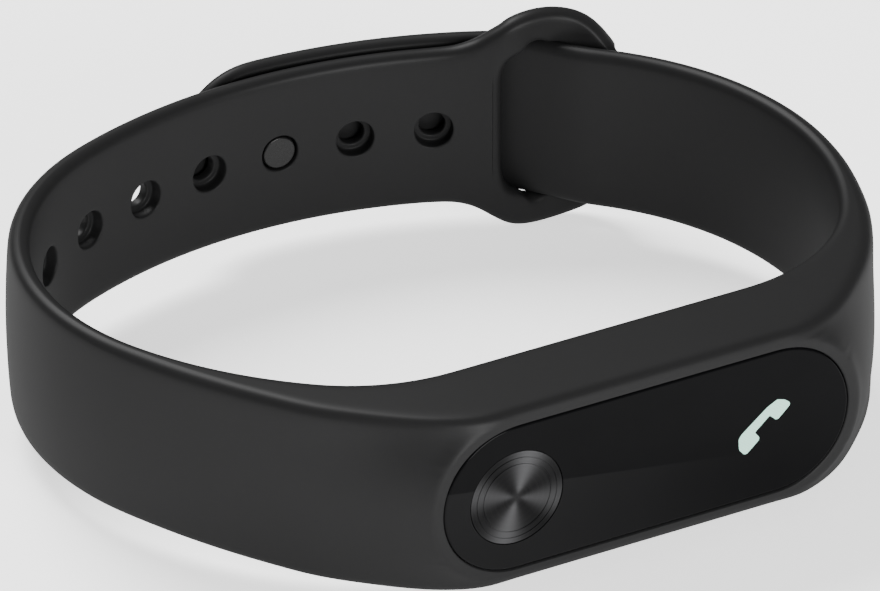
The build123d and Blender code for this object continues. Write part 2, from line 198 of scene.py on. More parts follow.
def inner(s):
    """(point, outward normal) of the wrist curve; s may be negative or past the girth."""
    s %= GIRTH
    if s < CRADLE_FLAT:
        return Vector((CRADLE_FLAT / 2 - s, CRADLE_INNER_Y)), Vector((0, -1))
    start, centre, radius, angle = [arc for arc in WRIST if arc[0] <= s][-1]
    out = unit(angle - math.degrees((s - start) / radius))
    return centre + out * radius, out


def dome(past):
    """Half circle that closes a rounded end: 1 at its start and 0 one millimetre on."""
    return math.sqrt(max(1 - past * past, 0.0))


def stadium_distance(x, z):
    """Distance outside the lens opening."""
    return math.hypot(max(abs(x) - END_X, 0.0), z) - OPENING_R


# ---------------------------------------------------------------- strips of silicone with rounded edges
class Sheet:
    """A strip along the wrist curve. Each station is a closed ring of points round the strip."""

    FACE_ROWS = 14
    COLUMN_PITCH = HOLE_PITCH / 7
    HOLE_ROWS = (0.493, 1.479, 2.464)
    SECTION_HALF = FACE_ROWS + 2 * CORNER_ROWS + SIDE_ROWS + 1

    def __init__(self, stations):
        self.stations = stations
        self.mesh = bmesh.new()
        self.crease = self.mesh.edges.layers.float.new("crease_edge")
        self.skipped = set()

    def arm_half(self, s):
        """Half height of a plain arm."""
        return HALF_FRONT - HALF_SLOPE * inner(s)[0].y

    def base(self, s):
        """Point of the wrist-side face, raised by the strip's own lift."""
        point, out = inner(s)
        return point + out * self.lift(s)

    def normal(self, s):
        step = self.base(s + 0.05) - self.base(s - 0.05)
        return Vector((-step.y, step.x)).normalized()

    def edge(self, s, limit):
        return min(limit, self.thick(s, self.half(s)) * 0.49)

    def point(self, s, z, offset):
        """Point this far out from the wrist-side face."""
        p = self.base(s) + self.normal(s) * offset
        return (p.x, p.y, z)

    def row_z(self, s, outer, i):
        """Height of face row i, counted upwards."""
        limit = self.half(s) - self.edge(s, EDGE_OUT if outer else EDGE_IN)
        n = self.FACE_ROWS // 2
        k = i - n if i >= n else n - 1 - i
        if k < len(self.HOLE_ROWS):
            z = self.HOLE_ROWS[k]
        else:
            last = self.HOLE_ROWS[-1]
            z = last + (limit - last) * (k - len(self.HOLE_ROWS) + 1) / (n - len(self.HOLE_ROWS))
        return z if i >= n else -z

    def face_point(self, s, z, outer):
        return self.point(s, z, self.thick(s, z) if outer else 0.0)

    def half_section(self, s, sign):
        """Points round the top or bottom edge, from the wrist-side face to the outer face."""
        half = self.half(s)
        r_in, r_out = self.edge(s, EDGE_IN), self.edge(s, EDGE_OUT)
        t = self.thick(s, half - r_out)
        turn = [math.pi / 2 * k / (CORNER_ROWS + 1) for k in range(1, CORNER_ROWS + 1)]
        rows = [(half - r_in + r_in * math.sin(a), r_in - r_in * math.cos(a)) for a in turn]
        side = [r_in + (t - r_out - r_in) * k / SIDE_ROWS for k in range(SIDE_ROWS + 1)]
        rows += [(half, d) for d in side]
        rows += [(half - r_out + r_out * math.cos(a), t - r_out + r_out * math.sin(a)) for a in turn]
        return [self.point(s, sign * z, d) for z, d in rows]

    def section(self, s):
        rows = range(self.FACE_ROWS)
        points = [self.face_point(s, self.row_z(s, False, i), False) for i in rows]
        points += self.half_section(s, 1)
        points += [self.face_point(s, self.row_z(s, True, i), True) for i in reversed(rows)]
        points += reversed(self.half_section(s, -1))
        return points

    def index(self, outer, i):
        """Place of face row i in a station's ring."""
        return self.SECTION_HALF + self.FACE_ROWS - 1 - i if outer else i

    def add_ring(self, points):
        return [self.mesh.verts.new(world(*p)) for p in points]

    def bridge(self, a, b):
        """Joins two closed rings of vertices."""
        for k in range(len(a)):
            n = (k + 1) % len(a)
            self.mesh.faces.new((a[k], a[n], b[n], b[k]))

    def sweep(self):
        """Lays the strip through all its stations, apart from the openings."""
        self.rings = [self.add_ring(self.section(s)) for s in self.stations]
        for k in range(len(self.rings) - 1):
            a, b = self.rings[k], self.rings[k + 1]
            for j in range(len(a)):
                if (k, j) not in self.skipped:
                    n = (j + 1) % len(a)
                    self.mesh.faces.new((a[j], a[n], b[n], b[j]))

    def skip(self, k0, k1, i0, i1):
        """Leaves room for an opening between two stations and two rows, on both faces."""
        for k in range(k0, k1):
            for i in range(i0, i1):
                self.skipped.add((k, self.index(False, i)))
                self.skipped.add((k, self.index(True, i) - 1))

    def border(self, k0, k1, i0, i1, outer):
        """Vertices round such an opening, with their (s, z)."""
        walk = [(k, i0) for k in range(k0, k1)] + [(k1, i) for i in range(i0, i1)]
        walk += [(k, i1) for k in range(k1, k0, -1)] + [(k0, i) for i in range(i1, i0, -1)]
        verts = [self.rings[k][self.index(outer, i)] for k, i in walk]
        places = [(self.stations[k], self.row_z(self.stations[k], outer, i)) for k, i in walk]
        return verts, places

    def spread(self, outline, places, steps, outer):
        """Rings on a face between an opening's outline and its border."""
        rings = []
        for u in steps:
            mixed = [(a[0] + (b[0] - a[0]) * u, a[1] + (b[1] - a[1]) * u)
                     for a, b in zip(outline, places)]
            rings.append([self.face_point(s, z, outer) for s, z in mixed])
        return rings

    def open_up(self, block, outer_rings, inner_rings, wall_rings):
        """Joins both borders of an opening through rings of points, from the outer face inwards."""
        verts, _ = self.border(*block, True)
        for points in outer_rings + wall_rings + inner_rings:
            ring = self.add_ring(points)
            self.bridge(verts, ring)
            verts = ring
        self.bridge(verts, self.border(*block, False)[0])

    def cap(self, ring):
        """Closes an end by joining the two faces row by row."""
        n, m, far = self.FACE_ROWS, len(ring), self.SECTION_HALF
        for i in range(n - 1):
            j = far + n - 1 - i
            self.mesh.faces.new((ring[i], ring[i + 1], ring[j - 1], ring[j]))
        self.mesh.faces.new([ring[k] for k in range(n - 1, far + 1)])
        self.mesh.faces.new([ring[k % m] for k in range(far + n - 1, m + 1)])
        for k in range(m):
            rim = self.mesh.edges.get((ring[k], ring[(k + 1) % m]))
            rim[self.crease] = 1.0
            rim.smooth = False

    def finish(self, name):
        """The strip as an object, smoothed once."""
        bmesh.ops.recalc_face_normals(self.mesh, faces=self.mesh.faces)
        obj = mesh_object(name, self.mesh)
        modifier = obj.modifiers.new("Smooth", "SUBSURF")
        modifier.levels = modifier.render_levels = 1
        return obj


def mesh_object(name, built):
    """Smooth-shaded object made from a bmesh, linked to the scene."""
    mesh = bpy.data.meshes.new(name)
    built.to_mesh(mesh)
    built.free()
    mesh.shade_smooth()
    obj = bpy.data.objects.new(name, mesh)
    bpy.context.scene.collection.objects.link(obj)
    return obj


def spaced(start, end, step):
    """Stations from start towards end, without the end."""
    n = max(1, round(abs(end - start) / step))
    return [start + (end - start) * k / n for k in range(n)]


class Strap(Sheet):
    """Keeper loop, holed arm, cradle and tongue arm in one moulding."""

    def __init__(self, crown):
        first_hole = STUD_S + 2 * HOLE_PITCH
        last_hole = first_hole - (HOLE_COUNT - 1) * HOLE_PITCH
        self.crown = crown
        self.ring_start = first_hole + HOLE_PITCH / 2
        self.pocket = (POCKET_START, POCKET_START - POCKET_COLUMNS * COLUMN)
        tail = SEAM_S - GIRTH
        cap = [RING_END_S + 0.98 * math.sin(a) for a in (1.35, 1.0, 0.6, 0.3)]
        reach = WINDOW[1] + WINDOW_MARGIN
        self.window_span = (WINDOW[0] + reach, WINDOW[0] - reach)
        stations = cap + spaced(RING_END_S, self.window_span[0], RING_STEP)
        stations += spaced(*self.window_span, RING_STEP)
        stations += spaced(self.window_span[1], self.ring_start, RING_STEP)
        stations += spaced(self.ring_start, last_hole - HOLE_PITCH / 2, self.COLUMN_PITCH)
        stations += spaced(last_hole - HOLE_PITCH / 2, self.pocket[0], 1.0)
        stations += spaced(*self.pocket, COLUMN) + spaced(self.pocket[1], tail, 1.0) + [tail]
        super().__init__(stations)

    def lift(self, s):
        """The loop rises to the outside at one end of the piece, and the long arm crosses at the other."""
        if s > TIP_S:
            drop = 1 - dome(max(s - RING_END_S, 0.0))
            return TONGUE_LIFT * smooth((s - RING_LIFT_S) / RING_LIFT_RUN) + STRAP_T / 2 * drop
        if s < 0:
            return TONGUE_LIFT * smooth((CROSS_S1 - (s + GIRTH)) / (CROSS_S1 - CROSS_S0))
        return 0.0

    def half(self, s):
        if s > RING_OUTLINE[0][0]:
            ring = through(RING_OUTLINE, s) + self.arm_half(s) - self.arm_half(RING_OUTLINE[0][0])
            return ring - 1.2 * (1 - dome(max(s - RING_END_S, 0.0)))
        return self.arm_half(s)

    def thick(self, s, z):
        if s > RING_END_S:
            return max(STRAP_T * dome(s - RING_END_S), 0.25)
        if s > LEFT_FLANK[-1][0]:
            flat = smooth((s - 126.5) / 4.0)
            return STRAP_T - self.crown * (1 - flat) * (z / CROWN_Z) ** 2
        band = through(LEFT_FLANK, s) if s > CRADLE_FLAT / 2 else through(RIGHT_FLANK, -s)
        along = abs(s - CRADLE_FLAT / 2)
        band -= self.crown * smooth((along - 22.0) / 20.0) * (z / CROWN_Z) ** 2
        if along > CRADLE_REACH:
            return band
        blend = 0.2 + 1.3 * smooth((abs(self.base(s).x) - 12.0) / 8.0)
        return soft_max(band, self.plateau(s, z), blend)

    @staticmethod
    def front(x, z):
        """Depth of the cradle's front: a slightly raised lip round the lens, then flanks that fall away."""
        d = stadium_distance(x, z)
        rim = LIP_STEP * smooth((d - 1.1) / 0.5) - LIP_CREST * math.exp(-((d - 0.95) / 0.35) ** 2)
        t = max(d - LIP_W, 0.0)
        return rim + 0.75 * t + 0.11 * t * t

    def plateau(self, s, z):
        """Thickness at which the strip's normal leaves the cradle's front."""
        base, out = self.base(s), self.normal(s)
        low, high = 0.0, 14.0
        for _ in range(24):
            t = (low + high) / 2
            p = base + out * t
            low, high = (t, high) if p.y > self.front(p.x, z) else (low, t)
        return low

    def outline_station(self, x, z, outer):
        """Station whose point at height z on a face has this x."""
        low, high = self.pocket[1], self.pocket[0]
        for _ in range(24):
            s = (low + high) / 2
            if self.face_point(s, z, outer)[0] > x:
                low = s
            else:
                high = s
        return s

    def block(self, s0, s1, i0, i1):
        """The part of the strip's grid between two places along it and two rows."""
        near = [min(range(len(self.stations)), key=lambda k: abs(self.stations[k] - s))
                for s in (s0, s1)]
        return near[0], near[1], i0, i1

    def build(self):
        pocket = self.block(*self.pocket, 0, self.FACE_ROWS - 1)
        window = self.block(*self.window_span, 0, self.FACE_ROWS - 1)
        reach = self.COLUMN_PITCH * 2.5
        centres = [STUD_S + (2 - i) * HOLE_PITCH for i in range(HOLE_COUNT)]
        middle = self.FACE_ROWS // 2
        holes = [self.block(c + reach, c - reach, middle - 3, middle + 2) for c in centres]
        for block in [pocket, window] + holes:
            self.skip(*block)
        self.sweep()
        self.open_pocket(pocket)
        self.open_window(window)
        for block, centre in zip(holes, centres):
            self.open_hole(block, centre)
        self.cap(self.rings[0])
        self.cap(self.rings[-1])

    def open_pocket(self, block):
        """Lens opening, the step behind its lip, the capsule's pocket and the rear opening."""
        _, places = self.border(*block, True)
        rays = []
        for s, z in places:
            x = self.face_point(s, z, True)[0]
            end = math.copysign(END_X, x) if abs(x) > END_X else x
            rays.append((end, Vector((x - end, z)).normalized()))

        def stadium(radius):
            return [(end + ray.x * radius, ray.y * radius) for end, ray in rays]

        def on_face(radius, outer):
            return [(self.outline_station(x, z, outer), z) for x, z in stadium(radius)]

        def level(radius, y):
            return [(x, y, z) for x, z in stadium(radius)]

        opening = on_face(OPENING_R + 0.1, True)
        outer_rings = self.spread(opening, places, (0.78, 0.58, 0.41, 0.28, 0.18, 0.1, 0.04, 0.0), True)
        walls = [level(OPENING_R, 0.1), level(OPENING_R, 0.3), level(OPENING_R, POCKET_FRONT_Y - 0.15),
                 level(OPENING_R + 0.12, POCKET_FRONT_Y), level(POCKET_R - 0.05, POCKET_FRONT_Y),
                 level(POCKET_R, POCKET_FRONT_Y + 0.1), level(POCKET_R, POCKET_BACK_Y - 0.1),
                 level(POCKET_R - 0.05, POCKET_BACK_Y), level(REAR_R + 0.1, POCKET_BACK_Y)]
        rear = on_face(REAR_R + 0.15, False)
        lip = [self.face_point(s, z, False) for s, z in rear]
        walls.append([(x, POCKET_BACK_Y + 0.12, z) for x, _, z in level(REAR_R, 0)])
        walls.append([(x, p[1] - 0.15, z) for (x, z), p in zip(stadium(REAR_R), lip)])
        inner_places = self.border(*block, False)[1]
        inner_rings = self.spread(rear, inner_places, (0.0, 0.1, 0.3, 0.6), False)
        self.open_up(block, outer_rings, inner_rings, walls)

    def open_window(self, block):
        """The loop's window, with round bars on all sides."""
        centre, half_w, half_h, corner = WINDOW

        def outline(places, grow):
            points = []
            limit = abs(places[0][1])
            for s, z in places:
                w, h = half_w + grow, half_h + grow
                r = corner + grow
                x = (s - centre) / abs(self.window_span[0] - centre) * w
                y = z / limit * h
                dx, dy = abs(x) - (w - r), abs(y) - (h - r)
                if dx > 0 and dy > 0:
                    scale = r / math.hypot(dx, dy)
                    x = math.copysign(w - r + dx * scale, x)
                    y = math.copysign(h - r + dy * scale, y)
                points.append((centre + x, y))
            return points

        places = self.border(*block, True)[1]
        turn = [math.pi * k / 8 for k in range(9)]
        half_t = STRAP_T / 2
        walls = []
        for a in turn:
            ring = outline(places, half_t * 0.9 * (1 - math.sin(a)))
            walls.append([self.point(s, z, half_t + half_t * math.cos(a)) for s, z in ring])
        self.open_up(block, [], [], walls)

    def open_hole(self, block, centre):
        """A stud hole: a neck from outside and a wider seat for the stud's head on the wrist side."""
        places = self.border(*block, True)[1]
        rays = [Vector((s - centre, z)).normalized() for s, z in places]

        def ring(radius):
            return [(centre + ray.x * radius, ray.y * radius) for ray in rays]

        def level(radius, offset):
            return [self.point(s, z, offset) for s, z in ring(radius)]

        outer_rings = self.spread(ring(NECK_R + 0.12), places, (0.5, 0.12, 0.0), True)
        walls = [level(NECK_R, STRAP_T - 0.12), level(NECK_R, STRAP_T - 0.4), level(NECK_R, SEAT_T + 0.1),
                 level(NECK_R + 0.08, SEAT_T), level(SEAT_R - 0.1, SEAT_T), level(SEAT_R, SEAT_T - 0.1),
                 level(SEAT_R, 0.3), level(SEAT_R, 0.1)]
        inner_rings = self.spread(ring(SEAT_R + 0.1), self.border(*block, False)[1], (0.0, 0.2), False)
        self.open_up(block, outer_rings, inner_rings, walls)


class Tongue(Sheet):
    """The end of the long arm, which lies over the holed arm beyond the loop."""

    def __init__(self, crown):
        self.crown = crown
        rounding = [TIP_S + 2.2 * (1 - math.cos(math.pi / 2 * k / 7)) for k in range(7, 0, -1)]
        super().__init__(spaced(SEAM_S, TIP_S + 2.2, 1.0) + rounding + [TIP_S + 0.02])

    def lift(self, s):
        return TONGUE_LIFT * smooth((CROSS_S1 - s) / (CROSS_S1 - CROSS_S0)) + self.taper(s)[0]

    def taper(self, s):
        """(extra lift, thickness) towards the tip."""
        thin = TIP_THINNING * smooth((STUD_S - s) / 9.0)
        near = min(max((TIP_S + 1.0 - s) / 1.0, 0.0), 1.0)
        t = (STRAP_T - thin) * math.sqrt(max(1 - near * near, 0.02))
        return (STRAP_T - thin - t) * 0.4, t

    def half(self, s):
        """Straight sides and a tip with round corners."""
        into = max(TIP_S + TIP_CORNER - s, 0.0)
        return self.arm_half(s) - (TIP_CORNER - math.sqrt(max(TIP_CORNER ** 2 - into ** 2, 0.01)))

    def thick(self, s, z):
        t = self.taper(s)[1]
        return t - self.crown * (z / CROWN_Z) ** 2 * (t / STRAP_T)

    def build(self):
        self.sweep()
        self.cap(self.rings[0])
        self.cap(self.rings[-1])


# ---------------------------------------------------------------- shader helpers
class Wire:
    """A shader value that takes part in Python expressions."""

    def __init__(self, finish, socket):
        self.finish, self.socket = finish, socket

    def maths(self, operation, *values):
        return self.finish.node("ShaderNodeMath", {"operation": operation}, dict(enumerate(values)))

    def __add__(self, other):
        return self.maths("ADD", self, other)

    def __sub__(self, other):
        return self.maths("SUBTRACT", self, other)

    def __rsub__(self, other):
        return self.maths("SUBTRACT", other, self)

    def __mul__(self, other):
        return self.maths("MULTIPLY", self, other)

    def __pow__(self, other):
        return self.maths("POWER", self, other)

    __radd__, __rmul__ = __add__, __mul__

    def between(self, low, high):
        """0 below low, 1 above high, smooth between."""
        return self.finish.node("ShaderNodeMapRange", {"interpolation_type": "SMOOTHSTEP"},
                                {"Value": self, "From Min": low, "From Max": high})


class Finish:
    """One material: a Principled shader with what varies over its surface wired in."""

    def __init__(self, name, colour, roughness, **constants):
        self.material = bpy.data.materials.new(name)
        self.material.use_nodes = True
        self.material.diffuse_color = (*colour, 1.0)
        self.nodes, self.links = self.material.node_tree.nodes, self.material.node_tree.links
        self.shader = self.nodes["Principled BSDF"]
        self.shader.inputs["Base Color"].default_value = (*colour, 1.0)
        self.shader.inputs["Roughness"].default_value = roughness
        for socket, value in constants.items():
            self.shader.inputs[socket.replace("_", " ")].default_value = value

    def node(self, kind, settings=None, inputs=None, output=0):
        """Adds a node with its settings, then its sockets' values or links."""
        made = self.nodes.new(kind)
        for name, value in (settings or {}).items():
            setattr(made, name, value)
        for name, value in (inputs or {}).items():
            self.plug(made.inputs[name], value)
        return Wire(self, made.outputs[output])

    def plug(self, socket, value):
        if isinstance(value, Wire):
            self.links.new(value.socket, socket)
        else:
            socket.default_value = value

    def feed(self, name, value):
        self.plug(self.shader.inputs[name], value)

    def place(self):
        """Position in millimetres, fixed to the piece."""
        position = self.node("ShaderNodeTexCoord", output="Object")
        return self.node("ShaderNodeVectorMath", {"operation": "SCALE"}, {0: position, "Scale": 1 / MM})

    def axes(self, vector):
        """The three parts of a vector."""
        split = self.node("ShaderNodeSeparateXYZ", inputs={0: vector}).socket.node
        return [Wire(self, split.outputs[k]) for k in range(3)]

    def noise(self, vector, size, detail=2.0, rough=0.5):
        """Noise from 0 to 1 whose lumps are about size millimetres across."""
        return self.node("ShaderNodeTexNoise", inputs={"Vector": vector, "Scale": 1 / size,
                                                       "Detail": detail, "Roughness": rough})

    def mix(self, factor, a, b):
        """Colour a where factor is 0 and b where it is 1."""
        return self.node("ShaderNodeMix", {"data_type": "RGBA"}, {0: factor, 6: (*a, 1), 7: (*b, 1)},
                         output=2)

    def bump(self, height, depth):
        """Relief of the given depth in millimetres."""
        self.feed("Normal", self.node("ShaderNodeBump", inputs={"Height": height, "Strength": 1.0,
                                                                "Distance": depth * MM}))

    def dress(self, *objects):
        for obj in objects:
            obj.data.materials.clear()
            obj.data.materials.append(self.material)


def shade(colour, factor):
    return tuple(min(c * factor, 1.0) for c in colour)


def silicone(name, settings):
    """Soft-touch silicone: a fine matt skin, faint clouding and slightly polished high spots."""
    colour = tuple(settings.silicone_colour)
    finish = Finish(name, colour, settings.silicone_roughness, Specular_IOR_Level=0.0,
                    Coat_Weight=0.16, Coat_Roughness=0.42)
    place = finish.place()
    cloud = finish.noise(place, 14.0, 3.0)
    skin = finish.noise(place, 0.16, 2.0, 0.6)
    pores = finish.noise(place, 0.5, 1.0)
    tone = cloud * 0.7 + pores * 0.3
    finish.feed("Base Color", finish.mix(tone, shade(colour, 0.86), shade(colour, 1.14)))
    finish.feed("Roughness", (cloud - 0.5) * 0.12 + (pores - 0.5) * 0.1 + settings.silicone_roughness)
    finish.bump(skin * 0.7 + pores * 0.3, 0.012)
    return finish


def moulded(name, colour, roughness, grain=0.2, depth=0.006, **constants):
    """Moulded plastic with a spark-eroded grain."""
    finish = Finish(name, colour, roughness, **constants)
    place = finish.place()
    cells = finish.noise(place, grain, 2.0, 0.7)
    cloud = finish.noise(place, 5.0)
    finish.feed("Base Color", finish.mix(cloud, shade(colour, 0.85), shade(colour, 1.15)))
    finish.feed("Roughness", (cells - 0.5) * 0.25 + roughness)
    finish.bump(cells, depth)
    return finish


def brushed(name, colour, roughness, **constants):
    """Metal drawn along the capsule: fine streaks in tone, gloss and relief."""
    finish = Finish(name, colour, roughness, Metallic=1.0, **constants)
    x, y, z = finish.axes(finish.place())
    drawn = finish.node("ShaderNodeCombineXYZ", inputs={0: x * 0.04, 1: y * 3.0, 2: z * 3.0})
    streaks = finish.noise(drawn, 0.35, 3.0, 0.6)
    finish.feed("Base Color", finish.mix(streaks, shade(colour, 0.8), shade(colour, 1.15)))
    finish.feed("Roughness", (streaks - 0.5) * 0.3 + roughness)
    finish.bump(streaks, 0.004)
    return finish


def solder_mask(name, colour):
    """Circuit board: mask with buried copper tracks and gold pads."""
    finish = Finish(name, colour, 0.35, Coat_Weight=0.3)
    x, y, z = finish.axes(finish.place())
    wander = finish.noise(finish.node("ShaderNodeCombineXYZ", inputs={0: x, 2: z}), 4.0) * 1.6
    lanes = finish.node("ShaderNodeMath", {"operation": "SINE"}, {0: (z + wander) * 9.0}).between(0.55, 0.8)
    spots = finish.node("ShaderNodeTexVoronoi", inputs={"Vector": finish.place(), "Scale": 0.9})
    pads = 1 - spots.between(0.16, 0.2)
    tone = finish.mix(lanes, colour, shade(colour, 2.2))
    gold = (0.75, 0.55, 0.22, 1)
    finish.feed("Base Color", finish.node("ShaderNodeMix", {"data_type": "RGBA"},
                                          {0: pads, 6: tone, 7: gold}, output=2))
    finish.feed("Metallic", pads * 0.9)
    finish.bump(lanes * 0.5 + pads, 0.02)
    return finish


def turned_disc(name, colour, centre):
    """Dark metal turned on a lathe: concentric lines, and painted highlights: the fans of light that such
    lines gather are painted into its colour, round a darker centre.
    """
    finish = Finish(name, colour, 0.36, Metallic=0.85, Specular_IOR_Level=0.1)
    x, _, z = finish.axes(finish.place())
    x, z = x - centre[0] / MM, z - centre[2] / MM
    radius = (x * x + z * z) ** 0.5
    angle = finish.node("ShaderNodeMath", {"operation": "ARCTAN2"}, {0: z, 1: x})
    # Painted highlights: four narrow and two broad fans of light, set by the angle round the disc and
    # painted into the colour.
    painted_fans = finish.node("ShaderNodeMath", {"operation": "COSINE"}, {0: angle * 4.0 + 1.2}) * 0.5 + 0.5
    painted_broad_fans = finish.node("ShaderNodeMath", {"operation": "COSINE"}, {0: angle * 2.0 - 2.4}) * 0.5 + 0.5
    lines = finish.noise(finish.node("ShaderNodeCombineXYZ", inputs={0: radius * 9.0}), 1.0, 3.0, 0.7)
    glow = (painted_fans ** 1.5) * 0.7 + painted_broad_fans * 0.3
    core = radius.between(0.1, 1.0)
    light = (glow ** 1.4) * core + (1 - core) * 0.2
    mixed = light * 0.9 + (lines - 0.5) * 0.3
    finish.feed("Base Color", finish.mix(mixed, shade(colour, 0.12), shade(colour, 2.2)))
    finish.feed("Roughness", (lines - 0.5) * 0.25 + 0.36)
    finish.bump(lines, 0.008)
    return finish


def polished_lens(name, colour, roughness, paler=0.0):
    """Smoked cover: a deep gloss, a painted reflection that can make its lower half paler in colour, and a
    trace of handling.
    """
    finish = Finish(name, colour, roughness, Specular_IOR_Level=0.03)
    place = finish.place()
    smears = finish.noise(place, 7.0, 4.0, 0.6)
    speck = finish.noise(place, 0.3, 1.0)
    tone = finish.mix(smears, shade(colour, 0.8), shade(colour, 1.25))
    # Painted reflection: the lower half, fading towards the right, is painted paler to stand in for the
    # floor's reflection.
    if paler:
        x, _, z = finish.axes(place)
        x, z = x - LENS_MIDDLE.x / MM, z - LENS_MIDDLE.z / MM
        below = (x * -0.154 - z - 0.72).between(0.0, 0.12)
        reflection_fade = 1 - x.between(-14.0, 14.0)
        tone = finish.node("ShaderNodeMix", {"data_type": "RGBA", "blend_type": "ADD"},
                           {0: below * reflection_fade, 6: tone, 7: (paler, paler, paler, 1)}, output=2)
    finish.feed("Base Color", tone)
    finish.feed("Roughness", smears * 0.06 + speck * 0.02 + roughness)
    return finish


def lit(name, colour, strength):
    """Lit dots of the display: an even glow with the faint grid between them."""
    finish = Finish(name, colour, 0.5, Emission_Strength=strength)
    x, _, z = finish.axes(finish.place())
    rows = finish.node("ShaderNodeMath", {"operation": "SINE"}, {0: z * 42.0}) * 0.5 + 0.5
    columns = finish.node("ShaderNodeMath", {"operation": "SINE"}, {0: x * 42.0}) * 0.5 + 0.5
    finish.feed("Emission Color", finish.mix(rows * columns, shade(colour, 0.88), colour))
    finish.feed("Base Color", finish.mix(rows, shade(colour, 0.7), shade(colour, 0.9)))
    return finish


# ---------------------------------------------------------------- settings
def colour_setting(name, description, default):
    return FloatVectorProperty(name=name, description=description, size=3, subtype="COLOR", min=0, max=1,
                               default=default)


def power_setting(name, description, default):
    return FloatProperty(name=name, description=description, default=default, min=0, unit="POWER")


class StrapSettings(bpy.types.PropertyGroup):
    """Shape, colour and finish of the silicone."""
    silicone_colour: colour_setting("Silicone colour", "Colour of the strap", (0.0118, 0.0118, 0.012))
    silicone_roughness: FloatProperty(name="Roughness", description="Matt finish of the silicone",
                                      default=0.6, min=0, max=1, subtype="FACTOR")
    crown: FloatProperty(name="Crown", description="How far the outer face falls away at its edges",
                         default=0.35 * MM, min=0, max=0.8 * MM, precision=5, unit="LENGTH")


class CapsuleSettings(bpy.types.PropertyGroup):
    """Colours and finishes of the tracker capsule."""
    lens_colour: colour_setting("Lens colour", "Smoked front", (0.0024, 0.0024, 0.0026))
    lens_roughness: FloatProperty(name="Lens roughness", description="0 is a mirror", default=0.08,
                                  min=0, max=1, subtype="FACTOR")
    # Painted reflection on the lens: how much paler its lower half is painted.
    lens_painted_reflection: FloatProperty(name="Painted reflection", description="How much paler the lens is in its lower half",
                              default=0.0038, min=0, max=1, precision=4)
    disc_colour: colour_setting("Touch disc colour", "Turned metal", (0.026, 0.026, 0.0268))
    icon_colour: colour_setting("Icon colour", "Lit handset", (0.38, 0.66, 0.54))
    icon_strength: FloatProperty(name="Icon brightness", description="Glow of the lit handset",
                                 default=0.3, min=0, max=10)
    case_colour: colour_setting("Case colour", "Capsule shell", (0.011, 0.011, 0.0115))


class StageSettings(bpy.types.PropertyGroup):
    """Floor, surroundings and lights."""
    floor_colour: colour_setting("Floor colour", "Pale floor", (0.93, 0.93, 0.93))
    floor_glow: FloatProperty(name="Floor glow", description="Light given off by the floor", default=1.4,
                              min=0)
    key_power: power_setting("Key light", "Power of the large soft light", 8.0)
    top_power: power_setting("Top light", "Power of the light overhead and behind", 7.0)
    sky: FloatProperty(name="Surroundings", description="Brightness of the white room", default=0.25,
                       min=0)


# ---------------------------------------------------------------- pieces
def dress_nodes(finish, *names):
    finish.dress(*[frame["nodes"][n] for n in names])


class TRACKER_OT_strap(bpy.types.Operator):
    """Strap with its cradle, size holes and keeper loop, moulded in one piece"""
    bl_idname = "tracker.strap"
    bl_label = "Silicone strap"

    def execute(self, context):
        settings = context.scene.tracker_strap
        sheet = Strap(settings.crown / MM)
        sheet.build()
        obj = sheet.finish("moulded_strap")
        silicone("silicone_strap", settings).dress(obj)
        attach(obj, "strap")
        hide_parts("strap_cradle", "holed_arm", "tongue_arm", "keeper_loop", "retaining_lip",
                    "stud_hole_rim")
        return {"FINISHED"}


class TRACKER_OT_tongue(bpy.types.Operator):
    """Tongue that lies over the holed arm beyond the loop"""
    bl_idname = "tracker.tongue"
    bl_label = "Tongue"

    def execute(self, context):
        settings = context.scene.tracker_strap
        sheet = Tongue(settings.crown / MM)
        sheet.build()
        hinge = [sheet.point(HINGE_S + d, 0, STRAP_T / 2) for d in (BEND, -BEND)]
        obj = sheet.finish("tongue_strip")
        silicone("silicone_tongue", settings).dress(obj)
        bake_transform(obj)
        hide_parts("tongue_tip")
        return {"FINISHED"}


class TRACKER_OT_stud(bpy.types.Operator):
    """Closure stud"""
    bl_idname = "tracker.stud"
    bl_label = "Closure stud"

    def execute(self, context):
        dress_nodes(moulded("stud_finish", (0.006, 0.006, 0.006), 0.3, 0.12, 0.004, Specular_IOR_Level=0.2),
                    "closure_stud")
        return {"FINISHED"}


class TRACKER_OT_front(bpy.types.Operator):
    """Lens and turned touch disc"""
    bl_idname = "tracker.front"
    bl_label = "Lens and touch disc"

    def execute(self, context):
        settings = context.scene.tracker_capsule
        dress_nodes(polished_lens("smoked_lens", tuple(settings.lens_colour), settings.lens_roughness,
                                  settings.lens_painted_reflection), "front_lens")
        low, high = [Vector(c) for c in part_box("touch_disc")]
        dress_nodes(turned_disc("turned_disc", tuple(settings.disc_colour), (low + high) / 2), "touch_disc")
        return {"FINISHED"}


ICON_TRIM = (-0.06, 0, 0.06)               # from the middle of the CAD icon to the origin of the outline
ICON_PROUD, ICON_T = 0.002, 0.02


def handset_outline():
    """Telephone receiver seen from the front, as (x, z, corner rounding) in millimetres."""
    return ((1.30, 2.14, 0.12), (2.03, 1.91, 0.2), (2.48, 1.52, 0.12), (2.49, 1.26, 0.1), (1.40, 0.25, 0.12),
            (1.15, 0.24, 0.12), (0.58, 0.80, 0.15), (-0.84, -0.44, 0.15), (-0.41, -0.97, 0.12),
            (-0.43, -1.27, 0.12), (-1.57, -2.27, 0.12), (-1.85, -2.24, 0.12), (-2.31, -1.70, 0.12),
            (-2.37, -0.70, 0.12), (-2.14, -0.30, 0.2), (0.37, 1.69, 0.3))


